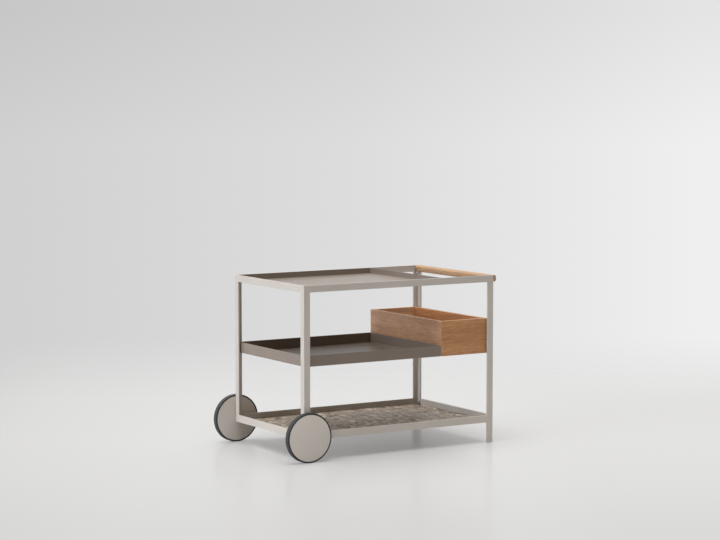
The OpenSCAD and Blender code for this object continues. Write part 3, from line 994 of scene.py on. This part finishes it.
@dataclass
class Wheel:
    """One wheel: two flat painted covers, a solid tyre and the hidden core."""

    shop: Workshop
    side: str
    body: Body
    sides: int = 160
    cover_edge: float = 0.5 * MM
    bore: float = 8.0 * MM
    shoulder: float = 2.0 * MM
    lip: float = 6.0 * MM
    bead_step: float = 2.1 * MM
    bead: float = 2.3 * MM
    smooth_angle: float = 50.0

    def build(self) -> None:
        """Models the covers and the tyre, and dresses the core and the bearings."""
        for face in ("outer", "inner"):
            self._cover(face)
        self._tyre()
        self.shop.dress([f"wheel_core_{self.side}"], Slot.NYLON, "nylon")
        self.shop.dress([f"bearings_{self.side}"], Slot.STEEL, "steel")

    def _cover(self, face: str) -> None:
        """Models the outer or inner cover from a disc, with an eased rim; the inner has a hole."""
        node = f"wheel_cover_{face}_{self.side}"
        low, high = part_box(node)
        core_low, core_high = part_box(f"wheel_core_{self.side}")
        before = low.y + high.y < core_low.y + core_high.y
        seat, skin = (core_low.y, low.y) if before else (core_high.y, high.y)
        radius = (high.x - low.x) / 2
        centre = Vector(((low.x + high.x) / 2, (skin + seat) / 2, (low.z + high.z) / 2))
        cover = Bench.disc(f"{self.side}_cover_{face}", centre, radius, abs(skin - seat), self.sides)
        if face == "inner":
            self._open(cover, radius - self.bore)
        Bench.round_edges(cover, self.cover_edge, steps=3, wanted=lambda edge: all(
            abs(v.co.y - skin) < TOUCH and (v.co - centre).length > radius - NEAR for v in edge.verts))
        Bench.smooth(cover, self.smooth_angle)
        # The covers take the frame's paint painted a shade lighter: painted light.
        self.shop.paint(cover, "cover_paint_with_painted_light")
        self.shop.hand_over(cover, self.body, Slot.FRAME_PAINT, node)

    @staticmethod
    def _open(disc: Piece, wall: float) -> None:
        """Opens a round hole through a disc and leaves a wall around it."""
        with Bench.editing(disc):
            Bench.pick(disc, "faces", lambda face: abs(face.normal.y) > FACING)
            bpy.ops.mesh.inset(thickness=wall)
            bpy.ops.mesh.delete(type="FACE")
        Bench.bridge(disc)
        Bench.face_out(disc)

    def _tyre(self) -> None:
        """Models the tyre from a disc: two lips, a narrower bead, and round shoulders."""
        node = f"tyre_{self.side}"
        low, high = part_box(node)
        centre = (low + high) / 2
        radius = (high.x - low.x) / 2
        tyre = Bench.disc(f"{self.side}_tyre", centre, radius, high.y - low.y, self.sides)
        with Bench.editing(tyre):
            for sign in (-1.0, 1.0):
                Bench.pick(tyre, "faces", lambda face, s=sign: face.normal.y * s > FACING)
                bpy.ops.mesh.inset(thickness=self.lip)
                bpy.ops.mesh.extrude_region_move(TRANSFORM_OT_translate={
                    "value": (0.0, -sign * self.bead_step, 0.0)})
                bpy.ops.mesh.inset(thickness=self.bead)
                bpy.ops.mesh.delete(type="FACE")
        Bench.bridge(tyre)
        Bench.round_edges(tyre, self.shoulder, steps=6, wanted=lambda edge: level(edge) and all(
            math.hypot(v.co.x - centre.x, v.co.z - centre.z) > radius - NEAR for v in edge.verts))
        Bench.face_out(tyre)
        Bench.smooth(tyre, self.smooth_angle)
        self.shop.paint(tyre, "rubber")
        self.shop.hand_over(tyre, self.body, Slot.TYRE, node)


@dataclass
class Fittings:
    """Feet, spacers, bolts and screws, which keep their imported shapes."""

    shop: Workshop

    def build(self) -> None:
        """Dresses the fittings."""
        self.shop.dress(("foot_front", "foot_rear"), Slot.FOOT_NYLON, "foot_nylon")
        self.shop.dress(("tray_spacers",), Slot.NYLON, "nylon")
        steel = ["handle_screws", "tray_screws_left", "tray_screws_right"]
        for side in ("front", "rear"):
            steel += [f"axle_bolt_{side}", f"axle_spacer_{side}", f"bearing_sleeve_{side}"]
        self.shop.dress(steel, Slot.STEEL, "steel")


# ---------------------------------------------------------------- studio


@dataclass(frozen=True)
class Camera:
    """The photograph's camera, as fitted to its straight edges.

    Attributes:
        yaw: how far it is turned to the right of +Y, in radians.
        pitch: how far it looks down, in radians.
        focal_pixels: its focal length in pixels of the photograph.
        sensor: the width of the sensor in millimetres.
    """

    place: Triple = (-4.34025, -7.10433, 1.41148)
    yaw: float = 0.5501
    pitch: float = 0.0883
    focal_pixels: float = 2165.6
    image_width: float = 720.0
    sensor: float = 36.0
    reach: float = 100.0

    @property
    def forward(self) -> Triple:
        """The level direction in which the camera looks."""
        return (math.sin(self.yaw), math.cos(self.yaw), 0.0)

    @property
    def across(self) -> Triple:
        """The level direction to the camera's right."""
        return (math.cos(self.yaw), -math.sin(self.yaw), 0.0)

    def build(self) -> None:
        """Sets the camera up."""
        data = bpy.data.cameras.new("camera")
        data.sensor_fit = "HORIZONTAL"
        data.sensor_width = self.sensor
        data.lens = self.focal_pixels * self.sensor / self.image_width
        data.clip_end = self.reach
        camera = bpy.data.objects.new("camera", data)
        camera.location = self.place
        camera.rotation_euler = Euler((math.pi / 2 - self.pitch, 0.0, -self.yaw), "XYZ")
        bpy.context.scene.collection.objects.link(camera)
        bpy.context.scene.camera = camera


@dataclass(frozen=True)
class Softbox:
    """A broad soft light that is far away.

    Attributes:
        towards: the direction from the trolley to the light.
        strength: its strength on a face turned to it.
        spread: the angle that it fills, in degrees.
    """

    name: str
    towards: Triple
    strength: float
    spread: float
    colour: Rgb = (1.0, 1.0, 1.0)

    def hang(self) -> None:
        """Adds the lamp to the scene."""
        data = bpy.data.lights.new(self.name, "SUN")
        data.energy = self.strength
        data.angle = math.radians(self.spread)
        data.color = self.colour
        lamp = bpy.data.objects.new(self.name, data)
        lamp.rotation_euler = Vector(self.towards).to_track_quat("Z", "Y").to_euler()
        bpy.context.scene.collection.objects.link(lamp)


@dataclass(frozen=True)
class Cove:
    """The pale cove: what the camera sees of it, what gloss mirrors, and the light it gives.

    A direction has a depth along the camera's view, a part sideways to its right and a
    height, each from -1 to 1. The spans are ranges of these over which something sets in.

    Attributes:
        width: the backdrop's range sideways, and shades its tones.
        horizon: where the backdrop goes over to its share above, in heights.
        behind: where the camera's side goes over to the side behind the trolley, in depths.
        top: where the mirrored top panel is mirror_top times brighter, in heights.
        left: where the mirrored left panel is mirror_left times brighter, sideways.
        low_to_high: where the light goes over from fill_low to fill_high, in heights.
        right: where the light from the right rear is fill_right times brighter.
    """

    camera: Camera
    width: Span = (-0.20, 0.20)
    shades: Shades = ((0.0, 0.615), (0.12, 0.64), (0.5, 0.72), (0.88, 0.86), (1.0, 0.88))
    horizon: Span = (-0.03, 0.03)
    above: float = 0.90
    behind: Span = (-0.2, 0.5)
    mirror_front: Rgb = grey(0.14)
    top: Span = (0.45, 0.65)
    mirror_top: float = 3.4
    left: Span = (-0.45, -0.80)
    mirror_left: float = 3.0
    fill_front: Rgb = (0.165, 0.145, 0.125)
    fill_back: Rgb = grey(0.34)
    low_to_high: Span = (0.15, 0.50)
    fill_low: Rgb = (0.31, 0.225, 0.155)
    fill_high: Rgb = grey(1.27)
    right_rear: Triple = (0.8, 0.6, 0.0)
    right: Span = (0.3, 0.9)
    fill_right: float = 2.6

    def build(self) -> None:
        """Makes the world's nodes."""
        world = bpy.data.worlds.new("studio")
        world.use_nodes = True
        bpy.context.scene.world = world
        graph = Graph(world.node_tree)
        graph.tree.nodes.clear()
        direction = graph.add("TexCoord").outputs["Generated"]
        sideways = graph.dot(direction, self.camera.across)
        height = graph.dot(direction, UP)
        behind = graph.span(graph.dot(direction, self.camera.forward), self.behind)
        pale = graph.rise(graph.shade(sideways, self.width, self.shades), height, self.horizon, self.above)
        panels = graph.rise(pale, height, self.top, self.mirror_top)
        panels = graph.rise(panels, sideways, self.left, self.mirror_left)
        mirrored = graph.blend(behind, self.mirror_front, panels)
        level_fill = graph.blend(behind, self.fill_front, self.fill_back)
        scale = graph.blend(graph.span(height, self.low_to_high), self.fill_low, self.fill_high)
        fill = graph.rise(graph.vector("MULTIPLY", level_fill, scale),
                          graph.dot(direction, self.right_rear), self.right, self.fill_right)
        ray = graph.add("LightPath").outputs
        seen = graph.blend(ray["Is Glossy Ray"], fill, mirrored)
        seen = graph.blend(ray["Is Camera Ray"], seen, pale)
        seen = graph.blend(ray["Is Transmission Ray"], seen, pale)
        sky = graph.add("Background", {"Color": seen})
        graph.add("OutputWorld", {"Surface": sky.outputs[0]})


@dataclass(frozen=True)
class Floor:
    """A polished pale round floor whose far part lets the cove through.

    Attributes:
        depth: the metres along the camera's view over which the floor's painted shade runs, darker towards
            the camera.
        width: the metres to its right over which its painted shade runs, darker towards its left and right.
        lift: how much of the seen floor glows, by the strength of glow; this glow is painted light,
            which lightens the floor's shadows as the camera sees them.
        polish: the index of refraction of its polish.
        far: the depths in metres over which it fades into the cove.
        low_light: the direction in which the low side light shines.
        glare: how far the viewer's direction may turn to it before the polish is taken away.
    """

    camera: Camera
    radius: float = 9.0
    sides: int = 96
    colour: Rgb = (0.596, 0.596, 0.594)
    depth: Span = (-2.4, 1.6)
    deep_painted_shade: Shades = ((0.0, 0.86), (0.2, 0.90), (0.42, 0.97), (0.6, 1.0), (1.0, 1.0))
    width: Span = (-1.8, 1.8)
    wide_painted_shade: Shades = ((0.0, 0.85), (0.12, 0.94), (0.3, 1.0), (0.62, 1.0), (0.75, 0.95), (1.0, 0.93))
    lift: float = 0.33
    glow: float = 1.2
    polish: float = 1.10
    roughness: float = 0.22
    far: Span = (1.2, 3.4)
    low_light: Triple = (1.0, 0.0, 0.0)
    glare: Span = (0.80, 0.95)

    def build(self) -> None:
        """Lays the floor."""
        Bench.clear()
        bpy.ops.mesh.primitive_circle_add(vertices=self.sides, radius=self.radius, fill_type="NGON")
        floor = bpy.context.object
        floor.name = floor.data.name = "studio_floor"
        floor.data.materials.append(self._material())

    def _material(self) -> Material:
        """Makes the floor's material."""
        material = bpy.data.materials.new("studio_floor")
        material.use_nodes = True
        graph = Graph(material.node_tree)
        graph.tree.nodes.clear()
        place = graph.add("TexCoord").outputs["Object"]
        depth = graph.dot(place, self.camera.forward)
        # Painted shade: the floor is made darker towards the camera and towards its sides.
        deep = graph.shade(depth, self.depth, self.deep_painted_shade)
        wide = graph.shade(graph.dot(place, self.camera.across), self.width, self.wide_painted_shade)
        colour = graph.vector("MULTIPLY", graph.vector("MULTIPLY", deep, wide), self.colour)
        seen = graph.add("LightPath").outputs["Is Camera Ray"]
        # The glow is painted light: it lightens the shadows on the floor as the camera sees them.
        lifted = graph.mix(graph.calc("MULTIPLY", seen, self.lift),
                           graph.add("BsdfDiffuse", {"Color": colour}),
                           graph.add("Emission", {"Color": colour, "Strength": self.glow}))
        viewer = graph.dot(graph.add("NewGeometry").outputs["Incoming"], self.low_light)
        calm = graph.span(graph.calc("MULTIPLY", viewer, seen), self.glare, (1.0, 0.0))
        fresnel = graph.add("Fresnel", {"IOR": self.polish}).outputs[0]
        polished = graph.mix(graph.calc("MULTIPLY", fresnel, calm), lifted,
                             graph.add("BsdfGlossy", {"Color": grey(1.0), "Roughness": self.roughness}))
        hidden = graph.calc("MULTIPLY", graph.span(depth, self.far), seen)
        surface = graph.mix(hidden, polished, graph.add("BsdfTransparent"))
        graph.add("OutputMaterial", {"Surface": surface.outputs[0]})
        return material


@dataclass(frozen=True)
class Studio:
    """The photograph's camera, a white cove, two softboxes and a polished floor."""

    camera: Camera = Camera()
    softboxes: tuple[Softbox, ...] = (
        Softbox("side", (-0.98, 0.0, 0.12), strength=1.70, spread=28.0, colour=(0.95, 1.0, 1.08)),
        Softbox("overhead", (-0.16, -0.08, 1.0), strength=3.2, spread=56.0),
    )

    def build(self) -> None:
        """Sets up camera, world, softboxes and floor."""
        self.camera.build()
        Cove(self.camera).build()
        for softbox in self.softboxes:
            softbox.hang()
        Floor(self.camera).build()
        bpy.context.scene.view_settings.view_transform = "Standard"


def make_finishes() -> dict[str, Material]:
    """Builds every finish and gives the materials by name."""
    sheen, ior = (0.26, 0.36), 1.7
    finishes: list[Finish] = [
        PowderCoat("frame_paint", (0.535, 0.494, 0.446)),
        # The wheel covers' paint is the frame's paint, painted a shade lighter: painted light.
        PowderCoat("cover_paint_with_painted_light", (0.60, 0.555, 0.505)),
        # The two tray finishes are one tray paint: the top tray's is painted paler as painted light, and the
        # middle tray's darker as painted shade under the top tray.
        PowderCoat("top_tray_paint", (0.220, 0.178, 0.144), sheen, ior),
        PowderCoat("middle_tray_paint", (0.188, 0.144, 0.112), sheen, ior),
        # The boards' and the handle's teak colours hold painted light and shade: the rear board, lit from
        # above inside the box, is painted much lighter, and the left and right boards and the handle are
        # painted darker.
        Teak("teak_front", Grain.ALONG_X, (0.31, 0.07, 0.11), (0.53, 0.27, 0.112), (0.365, 0.154, 0.055)),
        Teak("teak_rear", Grain.ALONG_X, (1.73, 0.52, 0.36), (0.69, 0.475, 0.30), (0.51, 0.31, 0.18)),
        Teak("teak_left", Grain.ALONG_Y, (2.41, 0.95, 0.23), (0.49, 0.278, 0.150), (0.355, 0.174, 0.083)),
        Teak("teak_right", Grain.ALONG_Y, (3.17, 1.38, 0.64), (0.55, 0.288, 0.132), (0.385, 0.17, 0.068)),
        Teak("teak_bottom", Grain.ALONG_Y, (4.09, 1.71, 0.87)),
        Teak("teak_handle", Grain.ALONG_Y, (5.23, 2.16, 0.42), (0.47, 0.29, 0.155), (0.335, 0.185, 0.088)),
        # The arris teak is painted lighter than the boards: a painted highlight on the rounded edges.
        Teak("teak_arris_painted_highlight", Grain.ALONG_X, (6.35, 2.64, 0.79), (0.66, 0.42, 0.25), (0.52, 0.30, 0.16)),
        Terrazzo("terrazzo"),
        Rubber("rubber"),
        Nylon("nylon"),
        Nylon("foot_nylon", (0.66, 0.64, 0.61)),
        TurnedSteel("steel"),
    ]
    return {finish.name: finish.build() for finish in finishes}


def main() -> None:
    """Builds the trolley's looks in order."""
    logging.basicConfig(level=logging.INFO, format="%(name)s: %(message)s")
    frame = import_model()
    Bench.clear()
    shop = Workshop(frame["nodes"], make_finishes())
    for assembly in (WeldedFrame(shop), StoneShelf(shop), Handle(shop), Trays(shop), BottleBox(shop),
                     Wheel(shop, "front", Body.WHEEL_FRONT), Wheel(shop, "rear", Body.WHEEL_REAR),
                     Fittings(shop)):
        assembly.build()
    Studio().build()
    Bench.clear()


if __name__ == "__main__":
    main()
